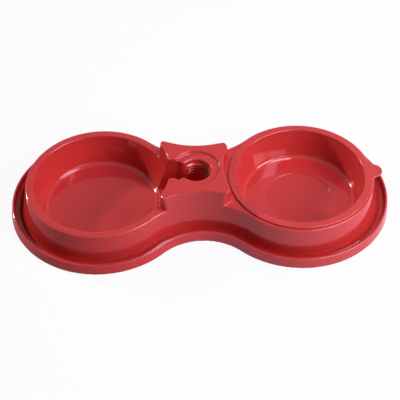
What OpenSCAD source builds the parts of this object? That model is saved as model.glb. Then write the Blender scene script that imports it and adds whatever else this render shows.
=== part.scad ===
// Double pet bowl with a water moat against ants. The base is one glossy moulding: a moat round a
// waisted body, a fixed water bowl on the left, and a raised block that takes an upturned bottle.
// The food bowl on the right lifts out. The nodes of the base are regions of that one moulding.
// Millimetres. The origin is on the table, midway between the bowls. +X runs to the food bowl.

/* [Body] */
// Width of the rim round the water bowl
rim_w = 6.9; // [6:0.1:8]
// Distance between the two bowls' outlines at the rims, where the bottle block stands
bowl_gap = 50; // [46:0.5:54]
// Radius of the hollow side of the waist, at the rims
waist_r = 71.2; // [66:0.5:76]
// Height of the rims above the table
rim_h = 33.6; // [31:0.2:37]
// Slope of the outer wall of the body, in degrees from upright
body_draft = 11.5; // [8:0.5:13]
// Thickness of the moulded walls of the base
wall_t = 2.2; // [1.9:0.1:2.5]

/* [Moat] */
// Width of the moat's gutter at its floor
gutter_w = 8.2; // [7:0.2:10]
// Inward slope of the moat's outer wall, in degrees from upright
moat_draft = 8.4; // [5:0.2:10]
// Height of the moat's lip
moat_h = 10.8; // [9:0.2:13]
// Bevel on both edges of that lip
moat_bevel = 0.7; // [0.5:0.1:0.9]
// Thickness of the moat's floor
moat_floor_t = 2.4; // [2:0.1:3]

/* [Water bowl] */
// Slope of the water bowl's wall, in degrees from upright
water_slope = 18.4; // [15:0.2:20]
// Height of the water bowl's floor inside
water_floor_z = 3.4; // [3:0.2:5]
// Radius of the round between wall and floor, in both bowls
floor_round = 5; // [3:0.5:7]

/* [Bottle block] */
// Height of the block above the rims
block_rise = 15.1; // [13:0.3:18]
// Thickness of the block's top plate
top_t = 2.4; // [2:0.1:3]
// Slope of the block's face towards the food bowl, in degrees from upright
face_slope = 9; // [6:0.5:12]
// Slope of its face towards the water bowl
near_slope = 12; // [9:0.5:18]
// Radius of the circle that ends the four horns
horn_r = 48.1; // [46:0.3:50]
// How far that circle's centre lies from the well towards the water bowl
horn_shift = 5.2; // [4:0.2:6]
// Radius of the well's wall, for the neck of a bottle
bore_r = 14; // [13.6:0.1:14.6]
// Radius of the shallow dish round the well
dish_r = 23.5; // [21:0.3:24]
// Depth of the dish
dish_depth = 2.6; // [2:0.2:3.2]
// Slope of the dish's wall, in degrees from upright
dish_draft = 17; // [10:1:25]
// Height and width of the bevel from the dish into the well
lip_bevel = 1.2; // [0.9:0.1:1.8]
// Clearance that the lead-in above the thread adds round the bottle's neck
lead_gap = 0.4; // [0.2:0.05:0.8]
// Height of that plain lead-in
lead_h = 4.3; // [3:0.1:5]
// Width of the channel from the well to the water bowl
channel_w = 25.4; // [24:0.2:28]
// Height of the channel's floor
channel_z = 7.5; // [6.5:0.2:9]
// Width of the gap where the channel enters the well
gate_w = 20; // [17:0.2:20.2]
// Distance from the well's axis at which the channel starts to narrow
narrow_at = 16.6; // [15:0.2:20]

/* [Neck thread] */
// Rise of the thread in one turn
thread_pitch = 3.2; // [2.8:0.1:3.6]
// How far the thread stands out of the well's wall
thread_depth = 1.1; // [0.8:0.1:1.3]
// Width of the thread at the wall
thread_w = 2; // [1.6:0.1:2.4]
// Width of the thread's crest
crest_w = 1; // [0.7:0.1:1.2]
// Distance from the lead-in down to the end of the thread
thread_drop = 0.2; // [0.1:0.1:1]
// Number of turns
thread_turns = 4; // [2:1:4]
// Gap between the thread and the wall that it grows from
thread_gap = 0.03; // [0.02:0.01:0.05]

/* [Food bowl] */
// Radius of the food bowl inside its rim
food_rim_r = 62.6; // [60:0.2:65]
// Clearance between the food bowl and the collar that it hangs in
seat_gap = 1.46; // [1:0.02:2]
// Height of the collar under the rim
seat_h = 14; // [10:0.5:18]
// How far the flange reaches past the collar's hole
flange_lap = 3.8; // [3:0.1:4.6]
// Width of the rim that shows outside the flange
ledge_w = 2.2; // [1.6:0.1:3]
// Thickness of the flange and of the lifting tab
flange_t = 2; // [1.7:0.1:2.4]
// Slope of the food bowl's wall, in degrees from upright
food_slope = 12.4; // [11:0.2:14]
// Height of the food bowl's floor inside
food_floor_z = 4.3; // [4:0.2:6]
// Thickness of the food bowl's wall and floor
food_wall_t = 1.9; // [1.6:0.1:2.1]
// Radius of the shallow round recess in the food bowl's floor
recess_r = 32.7; // [28:0.5:36]
// Depth of that recess
recess_depth = 0.7; // [0.5:0.1:0.9]
// How far the loose bowl lies to the far side of its seat
seat_shift = 0.6; // [0:0.1:0.8]

/* [Lifting tab] */
// How far the tab reaches past the flange
tab_l = 10.5; // [8.5:0.1:12]
// Width of the tab, which ends in half of this circle
tab_w = 17.4; // [14:0.2:20]
// Radius of the rounds where the tab leaves the flange
tab_root = 6.5; // [4:0.5:8]
// Turn of the tab from the long axis, in degrees
tab_turn = 2; // [-3:0.5:3]

/* [Hidden] */
$fn = 144;

// How far a cut runs past the face that it opens
over = 1;
// Chords in a rounded corner, and rings of the thread in one turn
round_steps = 8;
thread_steps = 28;

base_red = [0.74, 0.16, 0.15];
bowl_red = [0.78, 0.20, 0.19];

// The waisted outline is made of arcs about the bowls' centres and about two points beside the
// waist. Their radii always add up to link, so they stay tangent at every height.
food_run = food_wall_t / cos(food_slope);
seat_r = food_rim_r + food_run + seat_gap;
flange_r = seat_r + flange_lap;
rim_r = flange_r + ledge_w;
water_rim_r = rim_r - rim_w;
half = rim_r + bowl_gap / 2;
link = rim_r + waist_r;
arc_y = sqrt(link * link - half * half);

block_top = rim_h + block_rise;
deck_z = rim_h - wall_t;
well_x = (water_rim_r - rim_r) / 2;
horn_x = well_x - horn_shift;
wall_run = wall_t / cos(body_draft);
cup_run = wall_t / cos(water_slope);
flange_z = rim_h + flange_t;
food_x = half + seat_shift;
trough_z = channel_z - wall_t;
dish_z = block_top - dish_depth;
lip_z = dish_z - lip_bevel;
lead_r = bore_r + lead_gap;
lip_r = lead_r + lip_bevel;
lead_z = lip_z - lead_h;
gate_turn = asin(gate_w / 2 / bore_r);
thread_stop = 180 - gate_turn - thread_w / bore_r * 180 / PI;
thread_z = lead_z - thread_drop - thread_w / 2 - thread_pitch * (thread_turns - 1 + thread_stop / 360);

// Radius of the body's and of the moat's outer wall, of the water bowl's wall and of the block's
// faces towards the food bowl and the water bowl, at height z
function body_r(z) = rim_r + (rim_h - z) * tan(body_draft);
function moat_r(z) = body_r(moat_floor_t) + gutter_w + wall_t - (z - moat_floor_t) * tan(moat_draft);
function water_r(z) = water_rim_r + (z - rim_h) * tan(water_slope);
function face_r(z) = rim_r + (z - rim_h) * tan(face_slope);
function near_r(z) = water_rim_r + (z - rim_h) * tan(near_slope);

// Half of a cup's outline, from its axis to its rim, moved outwards by off. The wall leans by
// slope, and a round joins it to the floor.
function cup_line(rim, top, floor_h, slope, round, off) =
    let (mid_z = floor_h + round,
         mid_r = rim - (top - mid_z) * tan(slope) - round / cos(slope))
    concat([[0, floor_h - off]],
           [for (i = [0:round_steps])
               let (t = -90 + (90 - slope) * i / round_steps)
               [mid_r + (round + off) * cos(t), mid_z + (round + off) * sin(t)]],
           [[rim + off / cos(slope), top]]);

function backwards(line) = [for (i = [len(line) - 1:-1:0]) line[i]];

// The four-sided prism between the centres of the outline's arcs, from z0 to z1. Arcs about the
// bowls lie outside it, and arcs about the points beside the waist lie inside it.
module link_prism(z0, z1) {
    translate([0, 0, z0]) linear_extrude(z1 - z0)
        polygon([[-half, 0], [0, -arc_y], [half, 0], [0, arc_y]]);
}

// Sweeps a profile of radius and height round one end of the outline: s is -1 for the water bowl's
// end and 1 for the food bowl's
module end_sweep(s) {
    difference() {
        translate([s * half, 0]) rotate_extrude() children();
        link_prism(-over, block_top + over);
    }
}

// Sweeps the same profile along one side of the waist: s is -1 for the front and 1 for the back
module waist_sweep(s) {
    intersection() {
        translate([0, s * arc_y]) rotate_extrude() translate([link, 0]) mirror([1, 0]) children();
        link_prism(-over, block_top + over);
    }
}

// A solid with the waisted outline, of radius low at z0 and high at z1
module waisted(low, high, z0, z1) {
    grow = (high - low) / (z1 - z0);
    for (s = [-1, 1]) difference() {
        translate([s * half, 0, z0]) cylinder(r1 = low, r2 = high, h = z1 - z0);
        link_prism(z0 - over, z1 + over);
    }
    difference() {
        link_prism(z0, z1);
        for (s = [-1, 1]) translate([0, s * arc_y, z0 - over])
            cylinder(r1 = link - low + over * grow, r2 = link - high - over * grow,
                     h = z1 - z0 + 2 * over);
    }
}

// A cone about a bowl's centre at x, of radius low at z0 and high at z1, with overrun at both ends
module bowl_cone(x, low, high, z0, z1) {
    grow = (high - low) / (z1 - z0);
    translate([x, 0, z0 - over])
        cylinder(r1 = low - over * grow, r2 = high + over * grow, h = z1 - z0 + 2 * over);
}

module floor_line() {
    polygon([[body_r(moat_floor_t) - wall_run, 0], [moat_r(0), 0],
             [moat_r(moat_floor_t), moat_floor_t], [body_r(moat_floor_t) - wall_run, moat_floor_t]]);
}

module lip_line() {
    shoulder_z = moat_h - moat_bevel;
    polygon([[moat_r(moat_floor_t) - wall_t, moat_floor_t], [moat_r(moat_floor_t), moat_floor_t],
             [moat_r(shoulder_z), shoulder_z], [moat_r(moat_h) - moat_bevel, moat_h],
             [moat_r(moat_h) - wall_t + moat_bevel, moat_h], [moat_r(shoulder_z) - wall_t, shoulder_z]]);
}

module skirt_line() {
    polygon([[body_r(moat_floor_t) - wall_run, moat_floor_t], [body_r(moat_floor_t), moat_floor_t],
             [body_r(deck_z), deck_z], [body_r(deck_z) - wall_run, deck_z]]);
}

module moat_floor_left() color(base_red) end_sweep(-1) floor_line();
module moat_floor_right() color(base_red) end_sweep(1) floor_line();
module moat_floor_front() color(base_red) waist_sweep(-1) floor_line();
module moat_floor_back() color(base_red) waist_sweep(1) floor_line();

module moat_wall_left() color(base_red) end_sweep(-1) lip_line();
module moat_wall_right() color(base_red) end_sweep(1) lip_line();
module moat_wall_front() color(base_red) waist_sweep(-1) lip_line();
module moat_wall_back() color(base_red) waist_sweep(1) lip_line();

module skirt_left() color(base_red) end_sweep(-1) skirt_line();
module skirt_right() color(base_red) end_sweep(1) skirt_line();
module skirt_front() color(base_red) waist_sweep(-1) skirt_line();
module skirt_back() color(base_red) waist_sweep(1) skirt_line();

// The plan of the block between its faces, pulled in by inset, from z0 to z1
module block_form(inset, z0, z1) {
    difference() {
        intersection() {
            waisted(body_r(z0) - inset, body_r(z1) - inset, z0, z1);
            translate([horn_x, 0, z0]) cylinder(r = horn_r - inset, h = z1 - z0);
        }
        bowl_cone(-half, min(near_r(z0), water_r(z0)) + inset, near_r(z1) + inset, z0, z1);
        bowl_cone(half, face_r(z0) + inset, face_r(z1) + inset, z0, z1);
    }
}

// The outside of the trough, from z0 to z1
module trough_form(z0, z1) {
    translate([-half, -channel_w / 2 - wall_t, z0])
        cube([half + well_x, channel_w + 2 * wall_t, z1 - z0]);
}

// The flat top of the base, open over both bowls and under the block
module deck() {
    difference() {
        waisted(body_r(deck_z), body_r(rim_h), deck_z, rim_h);
        bowl_cone(-half, water_r(deck_z) + cup_run, water_r(rim_h) + cup_run, deck_z, rim_h);
        translate([half, 0, deck_z - over]) cylinder(r = seat_r + wall_t, h = wall_t + 2 * over);
        block_form(wall_run, deck_z - over, rim_h + over);
    }
}

// The part of the deck round one bowl, outside the lines to the waist's centres
module deck_end(s) {
    difference() {
        deck();
        link_prism(-over, block_top + over);
        translate([s > 0 ? -2 * half : 0, -half, -over]) cube([2 * half, 2 * half, block_top]);
    }
}

module water_rim() color(base_red) deck_end(-1);
module food_rim() color(base_red) deck_end(1);
module middle_deck() color(base_red) intersection() {
    deck();
    link_prism(-over, block_top + over);
}

module water_bowl() color(base_red) difference() {
    translate([-half, 0]) rotate_extrude()
        polygon(concat(cup_line(water_rim_r, rim_h, water_floor_z, water_slope, floor_round, 0),
                       backwards(cup_line(water_rim_r, rim_h, water_floor_z, water_slope,
                                          floor_round, wall_t))));
    trough_form(trough_z, rim_h + over);
}

// The channel as it is cut: wide at the bowl, then narrowing to the gate into the well
module channel_cut() {
    translate([well_x, 0, channel_z]) linear_extrude(block_top - channel_z + over)
        polygon([[-half, -channel_w / 2], [-narrow_at, -channel_w / 2], [-bore_r, -gate_w / 2],
                 [0, -gate_w / 2], [0, gate_w / 2], [-bore_r, gate_w / 2],
                 [-narrow_at, channel_w / 2], [-half, channel_w / 2]]);
}

module bottle_block() color(base_red) difference() {
    union() {
        difference() {
            block_form(0, rim_h, block_top);
            block_form(wall_run, rim_h - over, block_top - top_t);
        }
        // the floor of the dish, kept inside the block's faces
        intersection() {
            block_form(0, rim_h, block_top);
            translate([well_x, 0, lip_z - top_t]) cylinder(r = dish_r + wall_t,
                                                           h = block_top - lip_z + top_t);
        }
        // the well's tube, and the trough that leads from it through the wall of the water bowl
        translate([well_x, 0, trough_z]) cylinder(r = bore_r + wall_t, h = block_top - trough_z);
        difference() {
            trough_form(trough_z, block_top);
            intersection() {
                bowl_cone(-half, water_r(trough_z), water_r(block_top), trough_z, block_top);
                bowl_cone(-half, near_r(trough_z), near_r(block_top), trough_z, block_top);
            }
        }
    }
    translate([well_x, 0, channel_z]) cylinder(r = bore_r, h = block_top - channel_z + over);
    translate([well_x, 0, lead_z]) cylinder(r = lead_r, h = lead_h);
    translate([well_x, 0, lip_z]) cylinder(r1 = lead_r, r2 = lip_r, h = lip_bevel);
    translate([well_x, 0, dish_z])
        cylinder(r1 = dish_r - dish_depth * tan(dish_draft), r2 = dish_r + over * tan(dish_draft),
                 h = dish_depth + over);
    channel_cut();
}

// One turn of the thread, cut short on both sides of the gate
module thread_turn(level) {
    root = bore_r - thread_gap;
    tip = bore_r - thread_depth;
    points = [for (i = [0:thread_steps])
                  let (t = thread_stop * (2 * i / thread_steps - 1), z = level + thread_pitch * t / 360)
                  each [[root * cos(t), root * sin(t), z - thread_w / 2],
                        [tip * cos(t), tip * sin(t), z - crest_w / 2],
                        [tip * cos(t), tip * sin(t), z + crest_w / 2],
                        [root * cos(t), root * sin(t), z + thread_w / 2]]];
    faces = concat([[0, 1, 2], [0, 2, 3]],
                   [for (i = [0:thread_steps - 1], k = [0:3])
                       let (a = 4 * i + k, b = 4 * i + (k + 1) % 4)
                       each [[a, a + 4, b + 4], [a, b + 4, b]]],
                   [let (e = 4 * thread_steps) each [[e, e + 2, e + 1], [e, e + 3, e + 2]]]);
    polyhedron(points, faces);
}

module neck_thread() color(base_red) translate([well_x, 0, 0])
    for (i = [0:thread_turns - 1]) thread_turn(thread_z + i * thread_pitch);

module bowl_seat() color(base_red) translate([half, 0, rim_h - seat_h]) difference() {
    cylinder(r = seat_r + wall_t, h = seat_h);
    translate([0, 0, -over]) cylinder(r = seat_r, h = seat_h + 2 * over);
}

module food_bowl() color(bowl_red) translate([food_x, 0]) difference() {
    union() {
        rotate_extrude()
            polygon(concat(cup_line(food_rim_r, flange_z, food_floor_z, food_slope, floor_round, 0),
                           backwards(cup_line(food_rim_r, flange_z, food_floor_z, food_slope,
                                              floor_round, food_wall_t))));
        translate([0, 0, rim_h]) difference() {
            cylinder(r = flange_r, h = flange_t);
            translate([0, 0, -over]) cylinder(r = food_rim_r + food_run / 2, h = flange_t + 2 * over);
        }
        translate([0, 0, food_floor_z - food_wall_t - recess_depth])
            cylinder(r = recess_r + food_wall_t, h = food_wall_t);
    }
    translate([0, 0, food_floor_z - recess_depth]) cylinder(r = recess_r, h = recess_depth + over);
}

// The tab is a round tongue, with a round on each side that touches it and the flange
module lift_tab() color(bowl_red) translate([food_x, 0, rim_h]) rotate(tab_turn) {
    side = tab_w / 2;
    end_x = flange_r + tab_l - side;
    reach = flange_r + tab_root;
    root_x = (reach * reach - (side + tab_root) * (side + tab_root) + end_x * end_x) / (2 * end_x);
    root_y = sqrt(reach * reach - root_x * root_x);
    linear_extrude(flange_t) difference() {
        union() {
            polygon([[0, 0], [root_x, -root_y], [end_x, 0], [root_x, root_y]]);
            translate([end_x, 0]) circle(r = side);
        }
        circle(r = flange_r);
        for (s = [-1, 1]) translate([root_x, s * root_y]) circle(r = tab_root);
    }
}

moat_floor_left();
moat_floor_right();
moat_floor_front();
moat_floor_back();
moat_wall_left();
moat_wall_right();
moat_wall_front();
moat_wall_back();
skirt_left();
skirt_right();
skirt_front();
skirt_back();
water_rim();
food_rim();
middle_deck();
water_bowl();
bottle_block();
neck_thread();
bowl_seat();
food_bowl();
lift_tab();
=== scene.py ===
import math
from math import asin, cos, hypot, radians, sin, sqrt, tan

import bpy
import numpy as np
from mathutils import Matrix, Vector


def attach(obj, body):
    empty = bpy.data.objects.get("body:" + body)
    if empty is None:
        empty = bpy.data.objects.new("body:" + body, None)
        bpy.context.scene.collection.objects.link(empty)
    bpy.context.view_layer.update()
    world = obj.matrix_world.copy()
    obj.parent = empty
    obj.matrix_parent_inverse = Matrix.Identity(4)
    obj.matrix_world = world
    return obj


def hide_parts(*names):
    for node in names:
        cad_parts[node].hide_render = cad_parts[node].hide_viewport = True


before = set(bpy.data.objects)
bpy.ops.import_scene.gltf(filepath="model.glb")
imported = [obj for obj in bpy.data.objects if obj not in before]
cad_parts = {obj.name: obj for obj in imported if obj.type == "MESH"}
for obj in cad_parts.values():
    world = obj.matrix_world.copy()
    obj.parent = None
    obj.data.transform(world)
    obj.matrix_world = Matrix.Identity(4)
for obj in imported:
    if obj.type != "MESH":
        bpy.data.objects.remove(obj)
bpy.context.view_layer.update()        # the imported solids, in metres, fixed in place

# ---- sizes, in millimetres
MM = 0.001
RIM_W, BOWL_GAP, WAIST_R = 6.9, 50.0, 71.2
RIM_H, BODY_DRAFT, WALL = 33.6, radians(11.5), 2.2
GUTTER_W, MOAT_DRAFT, MOAT_H, MOAT_FLOOR = 8.2, radians(8.4), 10.8, 2.4
WATER_SLOPE, WATER_FLOOR, FLOOR_ROUND = radians(18.4), 3.4, 5.0
BLOCK_TOP = RIM_H + 15.1
FACE_SLOPE, NEAR_SLOPE, HORN_R, HORN_SHIFT = radians(9), radians(12), 48.1, 5.2
BORE_R, LIP_BEVEL, LEAD_GAP, LEAD_H = 14.0, 1.2, 0.4, 4.3
DISH_R, DISH_DEPTH, DISH_DRAFT = 23.5, 2.6, radians(17)
CHANNEL_W, CHANNEL_Z, GATE_W, NARROW_AT = 25.4, 7.5, 20.0, 16.6
THREAD_PITCH, THREAD_DEPTH, THREAD_TURNS, THREAD_DROP = 3.2, 1.1, 4, 0.2
THREAD_W, CREST_W, CREST_ROUND, THREAD_SUNK = 2.0, 1.0, 0.28, 0.25
FOOD_RIM_R, FOOD_WALL, FOOD_SLOPE, FOOD_FLOOR = 62.6, 1.9, radians(12.4), 4.3
SEAT_GAP, SEAT_H, FLANGE_LAP, LEDGE_W, FLANGE_T = 1.46, 14.0, 3.8, 2.2, 2.0
RECESS_R, RECESS_DEPTH, SEAT_SHIFT = 32.7, 0.7, 0.6
TAB_L, TAB_W, TAB_ROOT, TAB_TURN = 10.5, 17.4, 6.5, radians(2)

# radii of the rounds between the faces of the base
GUTTER_ROUND, LIP_ROUND, SEAT_ROUND, FOOT_ROUND, RIM_ROUND = 3.2, 0.95, 0.5, 0.4, 1.0
HORN_ROUND, NEAR_ROUND, TOP_ROUND, ROOT_ROUND = 3.5, 6.0, 1.1, 0.7
DISH_ROUND, DISH_EDGE, MOUTH_EDGE, CHANNEL_ROUND, CHANNEL_EDGE, GATE_ROUND = 1.0, 0.9, 1.6, 1.0, 1.0, 0.8

SEAT_R = FOOD_RIM_R + FOOD_WALL / cos(FOOD_SLOPE) + SEAT_GAP
FLANGE_R = SEAT_R + FLANGE_LAP
RIM_R = FLANGE_R + LEDGE_W
WATER_R = RIM_R - RIM_W
HALF = RIM_R + BOWL_GAP / 2
LINK = RIM_R + WAIST_R
ARC_Y = sqrt(LINK ** 2 - HALF ** 2)
WELL_X = (WATER_R - RIM_R) / 2
HORN_X = WELL_X - HORN_SHIFT
LEAD_Z = BLOCK_TOP - DISH_DEPTH - LIP_BEVEL - LEAD_H
THREAD_STOP = math.pi - asin(GATE_W / 2 / BORE_R) - THREAD_W / BORE_R
THREAD_Z = LEAD_Z - THREAD_DROP - THREAD_W / 2 - THREAD_PITCH * (THREAD_TURNS - 1 + THREAD_STOP / math.tau)


# ---- camera, at the photograph's angle
CAMERA_TURN, CAMERA_TILT, CAMERA_ROLL = radians(-1.459), radians(46.725), radians(-0.674)
CAMERA_AIM, CAMERA_DISTANCE, CAMERA_LENS = (-0.43, -15.13, 19.4), 1040.1, 96.4


def photo_camera():
    turn, tilt, roll = CAMERA_TURN, CAMERA_TILT, CAMERA_ROLL
    back = Vector((sin(turn) * cos(tilt), -cos(turn) * cos(tilt), sin(tilt)))
    right = Vector((cos(turn), sin(turn), 0))
    up = back.cross(right)
    right, up = right * cos(roll) + up * sin(roll), up * cos(roll) - right * sin(roll)
    aim = Vector(CAMERA_AIM) * MM
    data = bpy.data.cameras.new("camera")
    data.lens = CAMERA_LENS
    camera = bpy.data.objects.new("camera", data)
    bpy.context.scene.collection.objects.link(camera)
    place = Matrix((right, up, back)).transposed().to_4x4()
    place.translation = aim + back * CAMERA_DISTANCE * MM
    camera.matrix_world = place
    bpy.context.scene.camera = camera


photo_camera()


# ---- node trees written as sums
class Wire:
    """One socket of a node tree. Sums and products of wires add Math nodes."""

    def __init__(self, board, socket):
        self.board, self.socket = board, socket

    def pick(self, name):
        return Wire(self.board, self.socket.node.outputs[name])

    def __add__(self, other):
        return self.board.sum("ADD", self, other)

    __radd__ = __add__

    def __mul__(self, other):
        return self.board.sum("MULTIPLY", self, other)

    __rmul__ = __mul__

    def __sub__(self, other):
        return self.board.sum("SUBTRACT", self, other)

    def __rsub__(self, other):
        return self.board.sum("SUBTRACT", other, self)

    def __truediv__(self, other):
        return self.board.sum("DIVIDE", self, other)

    def __rtruediv__(self, other):
        return self.board.sum("DIVIDE", other, self)

    def __neg__(self):
        return self.board.sum("MULTIPLY", self, -1.0)


class Board:
    """A node tree that is being filled."""

    def __init__(self, tree):
        self.tree = tree

    def node(self, kind, values=(), out=0, **settings):
        made = self.tree.nodes.new(kind)
        for name, value in settings.items():
            setattr(made, name, value)
        return self.fill(made, values, out)

    def fill(self, made, values, out=0):
        for key, value in dict(values).items():
            if isinstance(value, Wire):
                self.tree.links.new(value.socket, made.inputs[key])
            else:
                made.inputs[key].default_value = value
        return Wire(self, made.outputs[out]) if len(made.outputs) else made

    def choose(self, index, options):
        """The option with that number, where options are values or wires."""
        made = self.tree.nodes.new("GeometryNodeIndexSwitch")
        made.data_type = "FLOAT"
        while len(made.index_switch_items) < len(options):
            made.index_switch_items.new()
        return self.fill(made, enumerate([index, *options]))

    def sum(self, operation, *values):
        return self.node("ShaderNodeMath", enumerate(values), operation=operation)

    def band(self, value, low, high, start=0.0, end=1.0):
        """start below low, end above high, and a smooth step between them."""
        return self.node("ShaderNodeMapRange", {"Value": value, "From Min": low, "From Max": high,
                         "To Min": start, "To Max": end}, interpolation_type="SMOOTHSTEP")


# ---- the base moulding as a field
def both(a, b, rounding, meet=0.0):
    """Where a and b both hold, with their edge rounded. meet is the cosine between the faces' normals."""
    u, v = np.maximum(a + rounding, 0), np.maximum(b + rounding, 0)
    edge = np.sqrt(np.maximum(u * u + v * v - 2 * meet * u * v, 0) / (1 - meet * meet)) - rounding
    return np.where((u > meet * v) & (v > meet * u), edge, np.maximum(a, b))


def either(a, b, rounding, meet=0.0):
    return -both(-a, -b, rounding, meet)


def fade(value, low, high):
    t = np.clip((value - low) / (high - low), 0, 1)
    return t * t * (3 - 2 * t)


def outline_r(x, y):
    """Distance from the centre of the nearest bowl, carried on along the waist."""
    x, y = np.abs(x), np.abs(y)
    return np.where(x / HALF + y / ARC_Y < 1, LINK - np.hypot(x, y - ARC_Y), np.hypot(x - HALF, y))


def body_r(z):
    return RIM_R + (RIM_H - z) * tan(BODY_DRAFT)


def moat_r(z):
    return body_r(MOAT_FLOOR) + GUTTER_W + WALL - (z - MOAT_FLOOR) * tan(MOAT_DRAFT)


def cup_hollow(r, z, rim_r, rim_z, floor_z, slope, rounding):
    """The inside of a bowl: a cone with a flat floor, and a true round between them."""
    mid_z = floor_z + rounding
    mid_r = rim_r - (rim_z - mid_z) * tan(slope) - rounding / cos(slope)
    dr, dz = r - mid_r, z - mid_z
    wall = (r - rim_r - (z - rim_z) * tan(slope)) * cos(slope)
    corner = (dr > 0) & (dr * sin(slope) + dz * cos(slope) < 0)
    return np.where(corner, np.hypot(dr, dz) - rounding, np.maximum(wall, floor_z - z))


def channel_run(x, y):
    """The plan of the channel that leads from the water bowl into the well."""
    side = np.abs(y)
    slant = hypot((CHANNEL_W - GATE_W) / 2, NARROW_AT - BORE_R)
    taper = ((x - WELL_X + NARROW_AT) * (CHANNEL_W - GATE_W) / 2
             + (side - CHANNEL_W / 2) * (NARROW_AT - BORE_R)) / slant
    turn = (NARROW_AT - BORE_R) / slant
    half_run, corner = 30, 4.0
    length = np.abs(x - WELL_X + half_run) - half_run
    wide = both(side - CHANNEL_W / 2, taper, corner, turn)
    return np.maximum(either(wide, side - GATE_W / 2, corner, turn), length)


def base_field(p):
    """Distance in millimetres from the skin of the base, below zero in the plastic."""
    x, y, z = p[:, 0], p[:, 1], p[:, 2]
    food_r = np.hypot(x - HALF, y)
    well_r = np.hypot(x - WELL_X, y)
    skirt = (outline_r(x, y) - body_r(z)) * cos(BODY_DRAFT)

    lip = (outline_r(x, y) - moat_r(z)) * cos(MOAT_DRAFT)
    gutter = both(np.maximum(-skirt, lip + WALL), MOAT_FLOOR - z, GUTTER_ROUND)
    moat = both(both(lip, z - MOAT_H, LIP_ROUND, sin(MOAT_DRAFT)), -gutter, LIP_ROUND)

    # the block, and the dish, the well's mouth and the channel that are sunk into it
    water_r = np.hypot(x + HALF, y)
    face = (RIM_R + (z - RIM_H) * tan(FACE_SLOPE) - food_r) * cos(FACE_SLOPE)
    near = (WATER_R + (z - RIM_H) * tan(NEAR_SLOPE) - water_r) * cos(NEAR_SLOPE)
    horns = np.hypot(x - HORN_X, y) - HORN_R
    block = both(both(both(face, horns, HORN_ROUND), near, NEAR_ROUND), z - BLOCK_TOP, TOP_ROUND, 0.05)
    rounder = 1.6 * fade(z, RIM_H + 1.5, RIM_H + 4.5) * fade(horns, -7, 0)
    body = both(skirt, either(block, z - RIM_H, ROOT_ROUND), TOP_ROUND + rounder, sin(BODY_DRAFT))
    dish_wall = (well_r - DISH_R + (BLOCK_TOP - z) * tan(DISH_DRAFT)) * cos(DISH_DRAFT)
    dish = both(dish_wall, BLOCK_TOP - DISH_DEPTH - z, DISH_ROUND, sin(DISH_DRAFT))
    run = channel_run(x, y)
    body = both(body, -dish, DISH_EDGE, sin(DISH_DRAFT))
    body = both(body, -np.maximum(well_r - BORE_R - LEAD_GAP, LEAD_Z - z), MOUTH_EDGE)
    body = both(body, -both(run, CHANNEL_Z - z, CHANNEL_ROUND), CHANNEL_EDGE, 0.1)

    # the water bowl, whose edge turns sharp where it climbs the block
    bowl = np.maximum(cup_hollow(water_r, z, WATER_R, RIM_H, WATER_FLOOR, WATER_SLOPE, FLOOR_ROUND), -near)
    sharper = 0.98 * fade(z, RIM_H + 0.5, RIM_H + 3)
    body = both(body, -bowl, RIM_ROUND - sharper, sin(WATER_SLOPE))
    bore = either(well_r - BORE_R, run, GATE_ROUND, 0.2)
    body = np.maximum(body, -both(bore, CHANNEL_Z - z, CHANNEL_ROUND))
    body = both(body, SEAT_R - food_r, SEAT_ROUND)

    # the hollow underside, and the collar of the seat that hangs in it
    solid = np.minimum(np.maximum(moat, -skirt - WALL), body)
    under = np.maximum(solid, skirt) + WALL
    under = np.minimum(under, np.maximum(food_r - SEAT_R - WALL - 1.4, z - RIM_H + SEAT_H))
    return both(np.maximum(solid, -under), -z, FOOT_ROUND)


# ---- from a field to a skin
def sample_field(field, low, high, cell, block=8, batch=400, spare=1.15):
    """The field on a grid, worked out exactly only in blocks that the skin may cross."""
    low = np.array(low, float)
    blocks = np.ceil((np.array(high) - low) / (cell * block)).astype(int)
    middles = np.stack(np.meshgrid(*[(np.arange(n) + 0.5) * block * cell for n in blocks],
                                   indexing="ij"), -1).reshape(-1, 3) + low
    far = field(middles).reshape(blocks)
    grid = np.pad(far.repeat(block, 0).repeat(block, 1).repeat(block, 2), (0, 1), "edge")
    near = np.argwhere(np.abs(far) < cell * (block * sqrt(3) / 2 * spare + 1))
    inside = np.stack(np.meshgrid(*[np.arange(block + 1)] * 3, indexing="ij"), -1).reshape(-1, 3)
    for start in range(0, len(near), batch):
        at = (near[start:start + batch, None] * block + inside[None]).reshape(-1, 3)
        grid[tuple(at.T)] = field(at * cell + low)
    return grid, low


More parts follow.
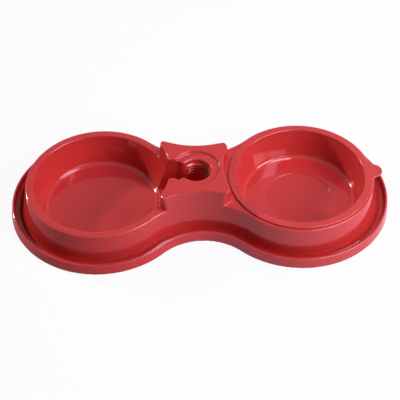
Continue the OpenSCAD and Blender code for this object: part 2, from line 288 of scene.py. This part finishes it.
def wrap_grid(grid, low, cell):
    """Points and four-sided faces of the skin: a point in each cell that it crosses."""
    full = np.array(grid.shape)
    below = grid < 0
    count = np.zeros(full - 1, np.int8)
    for i, j, k in np.ndindex(2, 2, 2):
        count += below[i:full[0] - 1 + i, j:full[1] - 1 + j, k:full[2] - 1 + k]
    crossed = np.argwhere((count > 0) & (count < 8))
    number = np.full(full - 1, -1, np.int32)
    number[tuple(crossed.T)] = np.arange(len(crossed))
    total, weight = np.zeros((len(crossed), 3)), np.zeros(len(crossed))
    for axis in range(3):
        for i, j in np.ndindex(2, 2):
            start = crossed.copy()
            start[:, (axis + 1) % 3] += i
            start[:, (axis + 2) % 3] += j
            end = start.copy()
            end[:, axis] += 1
            a, b = grid[tuple(start.T)], grid[tuple(end.T)]
            hit = (a < 0) != (b < 0)
            total[hit] += start[hit]
            total[hit, axis] += a[hit] / (a[hit] - b[hit])
            weight += hit
    faces = []
    for axis in range(3):
        one, two = [slice(1, -1)] * 3, [slice(1, -1)] * 3
        one[axis], two[axis] = slice(0, -1), slice(1, None)
        edges = np.argwhere(below[tuple(one)] != below[tuple(two)]) + 1
        edges[:, axis] -= 1
        corners = []
        for i, j in ((-1, -1), (0, -1), (0, 0), (-1, 0)):
            cell_at = edges.copy()
            cell_at[:, (axis + 1) % 3] += i
            cell_at[:, (axis + 2) % 3] += j
            corners.append(number[tuple(cell_at.T)])
        corners = np.stack(corners, 1)
        turned = ~below[tuple(edges.T)]
        corners[turned] = corners[turned][:, ::-1]
        faces.append(corners)
    return total / weight[:, None] * cell + low, np.concatenate(faces)


def slope_of(field, points, step=0.02):
    return np.stack([(field(points + d) - field(points - d)) / (2 * step) for d in np.eye(3) * step], 1)


def settle(field, points, rounds):
    """Moves points onto the skin."""
    for _ in range(rounds):
        slope = slope_of(field, points)
        steep = np.maximum((slope * slope).sum(1), 0.3)
        points = points - (field(points) / steep)[:, None] * slope
    return points


def facing(field, points):
    slope = slope_of(field, points, 0.05)
    return slope / np.linalg.norm(slope, axis=1)[:, None]


def plain_mesh(name, points, faces):
    mesh = bpy.data.meshes.new(name)
    mesh.vertices.add(len(points))
    mesh.vertices.foreach_set("co", (points * MM).astype(np.float32).ravel())
    mesh.loops.add(faces.size)
    mesh.loops.foreach_set("vertex_index", faces.astype(np.int32).ravel())
    mesh.polygons.add(len(faces))
    mesh.polygons.foreach_set("loop_start", np.arange(0, faces.size, faces.shape[1], dtype=np.int32))
    mesh.update(calc_edges=True)
    return mesh


def put(name, mesh):
    piece = bpy.data.objects.new(name, mesh)
    bpy.context.scene.collection.objects.link(piece)
    return piece


def finished(piece, name):
    """The piece with its modifiers worked out, as a plain mesh."""
    mesh = bpy.data.meshes.new_from_object(piece.evaluated_get(bpy.context.evaluated_depsgraph_get()))
    bpy.data.objects.remove(piece)
    mesh.name = name
    return put(name, mesh)


BENT = 0.004        # one less the cosine between the normals of neighbours on a round


def moulded(name, field, low, high, cell, share):
    """A closed skin round a field, fine along rounds and edges and coarse where it is flat."""
    points, faces = wrap_grid(*sample_field(field, low, high, cell), cell)
    points = settle(field, points, 2)
    piece = put(name + "_raw", plain_mesh(name, points, faces))
    if share < 1:
        normals = facing(field, points)
        bend = np.zeros(len(points))
        sides = [(faces[:, i], faces[:, (i + 1) % 4]) for i in range(4)]
        for a, b in sides:
            turn = 1 - (normals[a] * normals[b]).sum(1)
            np.maximum.at(bend, a, turn)
            np.maximum.at(bend, b, turn)
        bent = bend > BENT
        keep = bent.copy()
        for a, b in sides:
            keep[a] |= bent[b]
            keep[b] |= bent[a]
        piece.vertex_groups.new(name="plain").add(np.nonzero(~keep)[0].tolist(), 1.0, "REPLACE")
        thin = piece.modifiers.new("thin", "DECIMATE")
        thin.ratio, thin.vertex_group, thin.vertex_group_factor = share, "plain", 10
    piece = finished(piece, name)
    mesh = piece.data
    points = np.empty(len(mesh.vertices) * 3)
    mesh.vertices.foreach_get("co", points)
    points = settle(field, points.reshape(-1, 3) / MM, 2)
    mesh.vertices.foreach_set("co", (points * MM).astype(np.float32).ravel())
    mesh.polygons.foreach_set("use_smooth", np.ones(len(mesh.polygons), bool))
    mesh.normals_split_custom_set_from_vertices(facing(field, points).astype(np.float32))
    return piece


# ---- a modifier tree with named sizes
def shaped(name, sizes, build, finish):
    """Runs a Geometry Nodes tree with named sizes, and keeps what it makes as a plain mesh."""
    tree = bpy.data.node_groups.new(name, "GeometryNodeTree")
    tree.interface.new_socket("Geometry", in_out="INPUT", socket_type="NodeSocketGeometry")
    tree.interface.new_socket("Geometry", in_out="OUTPUT", socket_type="NodeSocketGeometry")
    for label, value in sizes.items():
        kind = "NodeSocketInt" if isinstance(value, int) else "NodeSocketFloat"
        tree.interface.new_socket(label, in_out="INPUT", socket_type=kind)
    tree.interface.new_socket("finish", in_out="INPUT", socket_type="NodeSocketMaterial")
    board = Board(tree)
    entry = tree.nodes.new("NodeGroupInput")
    form = build(board, {label: Wire(board, entry.outputs[label]) for label in sizes})
    form = board.node("GeometryNodeRealizeInstances", {"Geometry": form})
    form = board.node("GeometryNodeSetMaterial", {"Geometry": form,
                      "Material": Wire(board, entry.outputs["finish"])})
    board.node("NodeGroupOutput", {"Geometry": form})
    piece = put(name + "_raw", bpy.data.meshes.new(name))
    modifier = piece.modifiers.new(name, "NODES")
    modifier.node_group = tree
    labels = {item.name: item.identifier for item in tree.interface.items_tree if item.in_out == "INPUT"}
    for label, value in {**sizes, "finish": finish}.items():
        modifier[labels[label]] = value
    return finished(piece, name)


def weighted(piece, name):
    """Smooth shading that keeps flat and conical faces true where they run into a round."""
    modifier = piece.modifiers.new("weighted", "WEIGHTED_NORMAL")
    modifier.keep_sharp = True
    return finished(piece, name)


# ---- the food bowl, turned about its axis
ARC_STEPS, ROOT_STEPS, TIP_STEPS, RIM_STEPS = 6, 8, 18, 216


def food_bowl_form(board, size):
    """A closed skin of rounds and the straights between them, swept round the bowl. The flange's edge
    follows an outline that swells out into the tab."""
    rim, wall, slope = size["rim radius"], size["wall"], size["wall slope"]
    top, floor, thick = size["flange top"], size["floor height"], size["flange thickness"]
    lean, tilt_cos = board.sum("TANGENT", slope), board.sum("COSINE", slope)
    half_pi = math.pi / 2
    floor_round, edge, step = size["floor round"], size["edge round"], size["recess depth"] / 2
    mid_z = floor + floor_round
    mid_r = rim - (top - mid_z) * lean - floor_round / tilt_cos
    under = top - thick
    nook = edge * 0.8
    outer = rim + wall / tilt_cos
    recess, boss = size["recess radius"], size["recess radius"] + wall
    # each round: radius and height of its centre, its own radius, its first and last angle, and
    # whether it follows the outline instead of a circle
    rounds = [
        (0.0, floor - step * 2, 0.0, 0.0, 0.0, 0),
        (recess - step, floor - step, step, -half_pi, 0.0, 0),
        (recess + step, floor - step, step, math.pi, half_pi, 0),
        (mid_r, mid_z, floor_round, -half_pi, -slope, 0),
        (rim - edge * lean + edge / tilt_cos, top - edge, edge, math.pi - slope, half_pi, 0),
        (edge * 0.8, top - edge * 0.8, edge * 0.8, half_pi, 0.0, 1),
        (edge * 0.5, under + edge * 0.5, edge * 0.5, 0.0, -half_pi, 1),
        (outer - (thick + nook) * lean + nook / tilt_cos, under - nook, nook, half_pi, math.pi - slope, 0),
        (mid_r, mid_z, floor_round + wall, -slope, -half_pi, 0),
        (boss + step, floor - wall - step, step, half_pi, math.pi, 0),
        (boss - step, floor - wall - step, step, 0.0, -half_pi, 0),
        (0.0, floor - wall - step * 2, 0.0, 0.0, 0.0, 0),
    ]
    columns = list(zip(*rounds))
    down = len(rounds) * (ARC_STEPS + 1)
    across = ROOT_STEPS * 2 + TIP_STEPS + RIM_STEPS
    index = board.node("GeometryNodeInputIndex")
    around = board.sum("FLOOR", (index + 0.5) / down)
    along = index - around * down
    which = board.sum("FLOOR", (along + 0.5) / (ARC_STEPS + 1))
    part = (along - which * (ARC_STEPS + 1)) / ARC_STEPS
    middle_r, middle_z, radius, first, last, on_outline = [board.choose(which, c) for c in columns]
    angle = first + (last - first) * part
    flat, height = radius * board.sum("COSINE", angle), middle_z + radius * board.sum("SINE", angle)

    # the outline of the flange: a root, the tab's tip, the other root, and the long way round
    flange, root, half_w = size["flange radius"], size["tab root"], size["tab width"] / 2
    tip_x, reach = flange + size["tab length"] - half_w, flange + root
    root_x = (reach * reach - (half_w + root) * (half_w + root) + tip_x * tip_x) / (tip_x * 2)
    root_y = board.sum("SQRT", reach * reach - root_x * root_x)
    turn = board.sum("ARCTAN2", root_y, root_x)
    tip_turn = board.sum("ARCTAN2", root_y, root_x - tip_x)
    bounds = [0, ROOT_STEPS, ROOT_STEPS + TIP_STEPS, ROOT_STEPS * 2 + TIP_STEPS]
    counts = [ROOT_STEPS, TIP_STEPS, ROOT_STEPS, RIM_STEPS]
    zone = sum(board.sum("GREATER_THAN", around, edge_at - 0.5) for edge_at in bounds[1:])
    share = (around - board.choose(zone, bounds)) / board.choose(zone, counts)
    begin = board.choose(zone, (math.pi - turn, -tip_turn, tip_turn - math.pi, turn))
    end = board.choose(zone, (math.pi - tip_turn, tip_turn, turn - math.pi, math.tau - turn))
    heading = begin + (end - begin) * share
    centre_x = board.choose(zone, (root_x, tip_x, root_x, 0.0))
    centre_y = board.choose(zone, (-root_y, 0.0, root_y, 0.0))
    swing = board.choose(zone, (root, half_w, root, flange))
    inwards = board.choose(zone, (1, -1, 1, -1))

    def outline(inset):
        r = swing + inwards * inset
        return centre_x + r * board.sum("COSINE", heading), centre_y + r * board.sum("SINE", heading)

    edge_x, edge_y = outline(0.0)
    aim = board.sum("ARCTAN2", edge_y, edge_x)
    circle_r = middle_r + flat
    inset_x, inset_y = outline(middle_r - flat)
    circle_x, circle_y = circle_r * board.sum("COSINE", aim), circle_r * board.sum("SINE", aim)
    x = circle_x + (inset_x - circle_x) * on_outline
    y = circle_y + (inset_y - circle_y) * on_outline
    sheet = board.node("GeometryNodeMeshGrid", {"Vertices X": across + 1, "Vertices Y": down})
    skin = board.node("GeometryNodeSetPosition", {"Geometry": sheet, "Position":
                      board.node("ShaderNodeCombineXYZ", {"X": x, "Y": y, "Z": height})})
    skin = board.node("GeometryNodeMergeByDistance", {"Geometry": skin, "Distance": 2e-6})
    skin = board.node("GeometryNodeFlipFaces", {"Mesh": skin})
    skin = board.node("GeometryNodeSetShadeSmooth", {0: skin})
    spin = board.node("ShaderNodeCombineXYZ", {"Z": size["tab turn"]})
    shift = board.node("ShaderNodeCombineXYZ", {"X": size["bowl place"]})
    return board.node("GeometryNodeTransform", {"Geometry": skin, "Translation": shift, "Rotation": spin})


# ---- the thread, a ridge that climbs the well
def thread_form(board, size):
    stop = size["stop angle"]
    turn = board.node("GeometryNodeCurveArc", {"Resolution": 110, "Radius": size["wall radius"],
                      "Start Angle": -stop, "Sweep Angle": stop * 2}, mode="RADIUS")
    along = board.node("GeometryNodeSplineParameter").pick("Factor")
    climb = size["pitch"] * stop / math.pi * (along - 0.5)
    turn = board.node("GeometryNodeSetPosition", {"Geometry": turn, "Offset":
                      board.node("ShaderNodeCombineXYZ", {"Z": climb + size["lowest turn"]})})
    turn = board.node("GeometryNodeSetCurveNormal", {"Curve": turn}, mode="Z_UP")
    runout = board.sum("MINIMUM", along, 1 - along)
    turn = board.node("GeometryNodeSetCurveRadius", {"Curve": turn,
                      "Radius": board.band(runout, 0.0, 0.07, 0.12, 1.0)})
    sunk, half_w, half_c = size["sunk"], size["width"] / 2, size["crest"] / 2
    corners = [(sunk, -half_w), (-size["depth"], -half_c), (-size["depth"], half_c), (sunk, half_w)]
    points = {f"Point {n}": board.node("ShaderNodeCombineXYZ", {"X": a, "Y": b})
              for n, (a, b) in enumerate(corners, 1)}
    ridge = board.node("GeometryNodeCurvePrimitiveQuadrilateral", points, mode="POINTS")
    ridge = board.node("GeometryNodeFilletCurve", {"Curve": ridge, "Radius": size["crest round"], "Count": 4},
                       mode="POLY")
    turn = board.node("GeometryNodeCurveToMesh", {"Curve": turn, "Profile Curve": ridge, "Fill Caps": True})
    levels = board.node("GeometryNodeMeshLine", {"Count": size["turns"], "Offset":
                        board.node("ShaderNodeCombineXYZ", {"Z": size["pitch"]})}, mode="OFFSET")
    turns = board.node("GeometryNodeInstanceOnPoints", {"Points": levels, "Instance": turn})
    shift = board.node("ShaderNodeCombineXYZ", {"X": size["well place"]})
    return board.node("GeometryNodeTransform", {"Geometry": turns, "Translation": shift})


# ---- glossy red plastic, as it leaves the mould
RED, WORN_RED, DUST = (0.56, 0.034, 0.031), (0.60, 0.062, 0.060), (0.62, 0.40, 0.35)


def red_plastic(name, middle, gate):
    """middle is the place that the melt flows from, and gate the radius of the scar that it leaves there."""
    material = bpy.data.materials.new(name)
    material.use_nodes = True
    material.node_tree.nodes.clear()
    board = Board(material.node_tree)
    place = board.node("ShaderNodeTexCoord").pick("Object")
    spot = board.node("ShaderNodeVectorMath", {0: place, 1: middle}, operation="SUBTRACT")
    axes = board.node("ShaderNodeSeparateXYZ", {0: spot})
    x, y = axes.pick("X"), axes.pick("Y")
    away = board.sum("SQRT", x * x + y * y) + 1e-5
    edge = board.node("ShaderNodeAttribute", attribute_name="edge").pick("Fac")
    nook = board.node("ShaderNodeAttribute", attribute_name="nook").pick("Fac")

    def noise(vector, scale, detail=2.0, rough=0.5):
        return board.node("ShaderNodeTexNoise", {"Vector": vector, "Scale": scale, "Detail": detail,
                          "Roughness": rough})

    # the melt's flow: streaks that run out from the middle, as a faint change of depth and gloss
    streak = board.node("ShaderNodeCombineXYZ", {"X": x / away * 7, "Y": y / away * 7, "Z": away * 9})
    flow = noise(streak, 1.0, 3.0)
    cloud = noise(place, 21.0, 3.0)
    smudge = board.band(noise(place, 34.0, 5.0, 0.62), 0.52, 0.74)
    speck = board.band(noise(place, 900.0, 1.0), 0.74, 0.80)

    # fine scratches from bowls, brushes and tongues, in three directions
    scratches = 0.0
    for turn, scale in ((0.4, 95.0), (1.7, 120.0), (2.6, 80.0)):
        turned = board.node("ShaderNodeMapping", {"Vector": place, "Rotation": (0.0, 0.0, turn),
                            "Scale": (1.0, 26.0, 1.0)})
        line = board.band(board.sum("ABSOLUTE", noise(turned, scale, 1.0) - 0.5), 0.0, 0.006, 1.0, 0.0)
        scratches = line * board.band(noise(turned, scale * 0.31, 0.0), 0.56, 0.64) + scratches
    worn = board.band(edge, 0.25, 0.9) * board.band(cloud, 0.35, 0.62, 0.25, 1.0)
    dust = board.band(nook, 0.25, 0.8) * board.band(noise(place, 260.0, 4.0, 0.7), 0.45, 0.68)
    scar = board.band(away, gate * 0.75, gate, 1.0, 0.0)
    ring = scar * board.band(away, gate * 0.45, gate * 0.75)

    def mix(factor, a, b):
        colours = {6: a, 7: b}
        colours = {at: c if isinstance(c, Wire) else (*c, 1.0) for at, c in colours.items()}
        return board.node("ShaderNodeMix", {0: factor, **colours}, out=2, data_type="RGBA")

    tone = mix((flow - 0.5) * 0.5 + (cloud - 0.5) * 0.5 + 0.5, [c * 0.93 for c in RED], [c * 1.06 for c in RED])
    tone = mix(worn * 0.45, tone, WORN_RED)
    tone = mix(dust * 0.10 + speck * 0.10, tone, DUST)
    gloss = 0.035 + smudge * 0.05 + flow * 0.02 + worn * 0.08 + dust * 0.25 + scratches * 0.12 + scar * 0.10
    ripple = noise(place, 150.0, 1.0)
    grain = noise(place, 1500.0, 2.0)
    height = ripple * 1.0 + grain * 0.05 - scratches * 0.10 + ring * 4.0 - scar * 1.5
    bump = board.node("ShaderNodeBump", {"Height": height, "Strength": 1.0, "Distance": 1.6e-5})
    surface = board.node("ShaderNodeBsdfPrincipled", {"Base Color": tone, "Roughness": gloss, "Normal": bump,
                         "IOR": 1.5, "Specular IOR Level": 0.5})
    board.node("ShaderNodeOutputMaterial", {"Surface": surface})
    return material


def mark(piece, name, values):
    piece.data.attributes.new(name, "FLOAT", "POINT").data.foreach_set("value", values.astype(np.float32))


def mark_edges(piece):
    """How sharply each point's surroundings bend outwards, from 0 to 1 at a round of a millimetre."""
    mesh = piece.data
    points, normals = np.empty(len(mesh.vertices) * 3), np.empty(len(mesh.vertices) * 3)
    mesh.vertices.foreach_get("co", points)
    mesh.vertices.foreach_get("normal", normals)
    points, normals = points.reshape(-1, 3) / MM, normals.reshape(-1, 3)
    ends = np.empty(len(mesh.edges) * 2, np.int32)
    mesh.edges.foreach_get("vertices", ends)
    a, b = ends.reshape(-1, 2).T
    step, lean = points[b] - points[a], normals[b] - normals[a]
    bend = np.clip((step * lean).sum(1) / np.maximum((step * step).sum(1), 1e-4), 0, 1)
    most = np.zeros(len(points))
    np.maximum.at(most, a, bend)
    np.maximum.at(most, b, bend)
    mark(piece, "edge", most)
    return points, normals


# ---- the pieces
base_red = red_plastic("base_red_plastic", (-0.074, 0.0, 0.0), 0.0022)
bowl_red = red_plastic("bowl_red_plastic", (0.0976, 0.0, 0.0), 0.0018)

cell, share = ((0.9, 0.085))
base = moulded("base_moulding", base_field, (-188, -91, -2), (188, 91, 50.5), cell, share)
points, normals = mark_edges(base)
mark(base, "nook", np.clip(1.2 - base_field(points + normals * 5) / 4, 0, 1))    # plastic close in front
base.data.materials.append(base_red)
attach(base, "base")
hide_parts(*[f"{ring}_{side}" for ring in ("moat_floor", "moat_wall", "skirt")
            for side in ("left", "right", "front", "back")],
            "water_rim", "food_rim", "middle_deck", "water_bowl", "bottle_block", "bowl_seat")

thread = shaped("neck_thread_ridge", {
    "wall radius": BORE_R * MM, "stop angle": THREAD_STOP, "pitch": THREAD_PITCH * MM,
    "lowest turn": THREAD_Z * MM, "sunk": THREAD_SUNK * MM, "depth": THREAD_DEPTH * MM,
    "width": THREAD_W * MM * 1.12, "crest": CREST_W * MM, "crest round": CREST_ROUND * MM,
    "turns": THREAD_TURNS, "well place": WELL_X * MM,
}, thread_form, base_red)
thread = weighted(thread, "neck_thread_ridge")
mark_edges(thread)
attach(thread, "base")
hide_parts("neck_thread")

bowl = shaped("lift_out_food_bowl", {
    "rim radius": FOOD_RIM_R * MM, "wall": FOOD_WALL * MM, "wall slope": FOOD_SLOPE,
    "flange top": (RIM_H + FLANGE_T) * MM, "floor height": FOOD_FLOOR * MM, "flange thickness": FLANGE_T * MM,
    "floor round": FLOOR_ROUND * MM, "edge round": RIM_ROUND * MM, "recess depth": RECESS_DEPTH * MM,
    "recess radius": RECESS_R * MM, "flange radius": FLANGE_R * MM, "tab root": TAB_ROOT * MM,
    "tab width": TAB_W * MM, "tab length": TAB_L * MM, "tab turn": TAB_TURN,
    "bowl place": (HALF + SEAT_SHIFT) * MM,
}, food_bowl_form, bowl_red)
bowl = weighted(bowl, "lift_out_food_bowl")
mark_edges(bowl)
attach(bowl, "lift_out_bowl")
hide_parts("food_bowl", "lift_tab")


# ---- the studio
def studio_floor(half=2600.0):
    corners = np.array([(-half, -half, 0.0), (half, -half, 0.0), (half, half, 0.0), (-half, half, 0.0)])
    floor = put("studio_floor", plain_mesh("studio_floor", corners, np.array([[0, 1, 2, 3]])))
    material = bpy.data.materials.new("white_card_and_painted_reflection")
    material.use_nodes = True
    material.node_tree.nodes.clear()
    board = Board(material.node_tree)
    path = board.node("ShaderNodeLightPath")
    mirrored = board.sum("MAXIMUM", path.pick("Is Glossy Ray"), path.pick("Is Transmission Ray"))
    # in reflections the floor glows with painted light in place of its own lit colour: painted shade on the
    # left side, dim and bluish, rising to a painted reflection of lamplight on the right, brighter than white
    along = board.node("ShaderNodeSeparateXYZ", {0: board.node("ShaderNodeTexCoord").pick("Object")}).pick("X")
    card = board.node("ShaderNodeBsdfDiffuse", {"Color": (0.84, 0.84, 0.84, 1.0)})
    dim = board.node("ShaderNodeEmission", {"Color": (0.80, 0.78, 1.0, 1.0), "Strength": 0.3})
    bright = board.node("ShaderNodeEmission", {"Color": (0.88, 0.84, 1.0, 1.0), "Strength": 1.25})
    painted_floor_reflection = board.node("ShaderNodeMixShader", {0: board.band(along, -0.2, 0.2), 1: dim, 2: bright})
    white = board.node("ShaderNodeEmission", {"Color": (1.0, 1.0, 1.0, 1.0), "Strength": 1.0})
    # mirrored rays see 85 % of the painted glow and 15 % of the card's own lit colour; camera rays see the card
    # nearly white, with its shadow
    lit = board.node("ShaderNodeMixShader", {0: mirrored * 0.85, 1: card, 2: painted_floor_reflection})
    board.node("ShaderNodeOutputMaterial", {"Surface": board.node(
        "ShaderNodeMixShader", {0: path.pick("Is Camera Ray") * 0.9, 1: lit, 2: white})})
    floor.data.materials.append(material)


def white_surroundings(level):
    """A white backdrop under a dim ceiling, to the camera and in reflections, and a plain level of
    light on the object."""
    world = bpy.data.worlds.new("white_surroundings")
    world.use_nodes = True
    world.node_tree.nodes.clear()
    board = Board(world.node_tree)
    path = board.node("ShaderNodeLightPath")
    seen = board.sum("MAXIMUM", board.sum("MAXIMUM", path.pick("Is Camera Ray"), path.pick("Is Glossy Ray")),
                     path.pick("Is Transmission Ray"))
    way = board.node("ShaderNodeTexCoord").pick("Generated")
    height = board.node("ShaderNodeSeparateXYZ", {0: way}).pick("Z")
    soft, low, high = [board.node("ShaderNodeBackground", {"Color": (1.0, 1.0, 1.0, 1.0), "Strength": strength})
                       for strength in (level, 0.62, 0.46)]
    climb = board.band(height, sin(radians(30)), sin(radians(42)))
    backdrop = board.node("ShaderNodeMixShader", {0: climb, 1: low, 2: high})
    board.node("ShaderNodeOutputWorld", {
        "Surface": board.node("ShaderNodeMixShader", {0: seen, 1: soft, 2: backdrop})})
    bpy.context.scene.world = world


def softbox(name, heading, height, distance, width, length, power, tint):
    """An oblong lamp at a compass heading and height in degrees, turned to the middle of the object."""
    heading, height = radians(heading), radians(height)
    way = Vector((sin(heading) * cos(height), cos(heading) * cos(height), sin(height)))
    data = bpy.data.lights.new(name, "AREA")
    data.shape, data.size, data.size_y, data.energy, data.color = "RECTANGLE", width, length, power, tint
    lamp = bpy.data.objects.new(name, data)
    bpy.context.scene.collection.objects.link(lamp)
    lamp.matrix_world = Matrix.Translation(way * distance) @ way.to_track_quat("Z", "Y").to_matrix().to_4x4()


studio_floor()
white_surroundings(0.01)
softbox("key_softbox", 109, 33, 1.3, 0.6, 0.5, 9.4, (1.0, 0.97, 1.0))
softbox("window_softbox", 140, 25, 1.3, 0.66, 0.26, 4.2, (0.90, 0.88, 1.0))
softbox("back_softbox", -58, 21.5, 2.6, 0.17, 0.17, 47, (1.0, 1.0, 1.0))
softbox("overhead_softbox", 88, 69, 1.3, 0.42, 0.4, 9.2, (0.82, 0.70, 1.0))
bpy.context.scene.view_settings.view_transform = "Standard"
